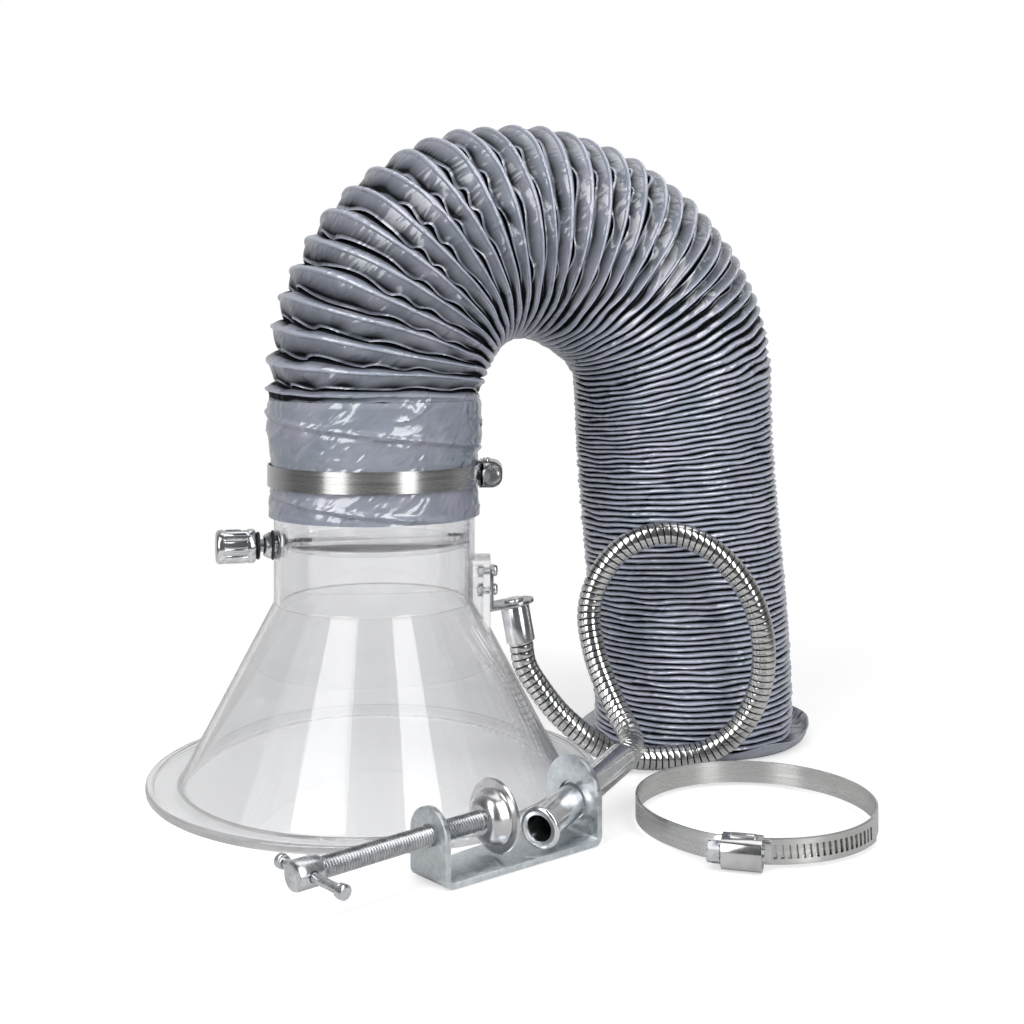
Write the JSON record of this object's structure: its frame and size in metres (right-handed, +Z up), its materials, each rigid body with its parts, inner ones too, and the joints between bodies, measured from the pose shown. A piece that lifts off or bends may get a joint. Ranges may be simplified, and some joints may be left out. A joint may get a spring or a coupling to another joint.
{
  "type": "fume extraction arm",
  "caption": "Bench fume extraction arm: clear hood with a butterfly damper, ribbed duct hose on a worm-drive band, stay-put gooseneck and screw table clamp, plus a spare band.",
  "frame": {"origin": "middle of the whole laid-out set, on the table top", "axes": "+Z up from the table top, +X to the right of the pictured view, +Y away from the viewer"},
  "size_m": [0.3314, 0.3316, 0.318],
  "materials": {
    "acrylic": "clear, polished",
    "chrome": "bright plate",
    "stainless": "rolled strip",
    "zinc": "bluish zinc plate",
    "rubber": "matte",
    "coated_cloth": "coated, semi-gloss grey"
  },
  "bodies": {
    "hood": {"hood_cone": "acrylic", "hood_neck": "acrylic", "shaft_bushing": "chrome", "shaft_gasket": "rubber", "shaft_nut": "chrome", "hood_bracket": "acrylic", "arm_hanger": "stainless", "bracket_screw_1": "chrome", "bracket_screw_2": "chrome", "bracket_nut_1": "stainless", "bracket_nut_2": "stainless", "hood_ferrule": "chrome", "gooseneck": "chrome", "clamp_ferrule": "chrome", "hose_cuff": "coated_cloth", "duct_hose": "coated_cloth", "hose_skirt": "coated_cloth", "hose_band": "stainless", "hose_housing": "stainless"},
    "damper": {"damper_shaft": "stainless", "damper_pivot": "stainless", "damper_disc": "acrylic", "damper_knob": "chrome", "knob_collar": "rubber", "shaft_rivet": "stainless", "pivot_rivet": "stainless"},
    "band_screw": {"hose_worm": "zinc"},
    "table_clamp": {"clamp_bracket": "zinc"},
    "pressure_pad": {"pad_dish": "zinc"},
    "spindle": {"clamp_spindle": "zinc"},
    "tommy": {"tommy_bar": "zinc", "tommy_cap_1": "zinc", "tommy_cap_2": "zinc"},
    "spare_clamp": {"spare_band": "stainless", "spare_housing": "stainless"},
    "spare_screw": {"spare_worm": "zinc"}
  },
  "joints": [
    {"name": "damper_turn", "type": "hinge", "parent": "hood", "child": "damper", "pos_m": [-0.05875, 0.02634, 0.1126], "axis": [-0.9659, -0.2588, 0], "continuous": true},
    {"name": "band_screw_turn", "type": "hinge", "parent": "hood", "child": "band_screw", "pos_m": [-0.00245, 0.02634, 0.1455], "axis": [0, 1, 0], "continuous": true},
    {"name": "clamp_slide", "type": "slide", "parent": "hood", "child": "table_clamp", "axis": [-0.468, -0.8802, -0.0785], "range_m": [0, 0.025]},
    {"name": "pad_slide", "type": "slide", "parent": "table_clamp", "child": "pressure_pad", "axis": [0.7431, 0.6691, 0], "range_m": [-0.022, 0.008]},
    {"name": "spindle_turn", "type": "hinge", "parent": "pressure_pad", "child": "spindle", "pos_m": [-0.02515, -0.10866, 0.0185], "axis": [0.7431, 0.6691, 0], "range_deg": [-6600, 2580]},
    {"name": "tommy_slide", "type": "slide", "parent": "spindle", "child": "tommy", "axis": [-0.6691, 0.7431, 0], "range_m": [-0.0068, 0.0148]},
    {"name": "spare_lift", "type": "slide", "parent": "hood", "child": "spare_clamp", "axis": [0, 0, 1], "range_m": [0, 0.15]},
    {"name": "spare_screw_turn", "type": "hinge", "parent": "spare_clamp", "child": "spare_screw", "pos_m": [0.0981, -0.09472, 0.0063], "axis": [0.9659, -0.2588, 0], "continuous": true}
  ],
  "couplings": [
    {"joint": "spindle_turn", "follows": "pad_slide", "rad_per_m": 5026.5}
  ]
}
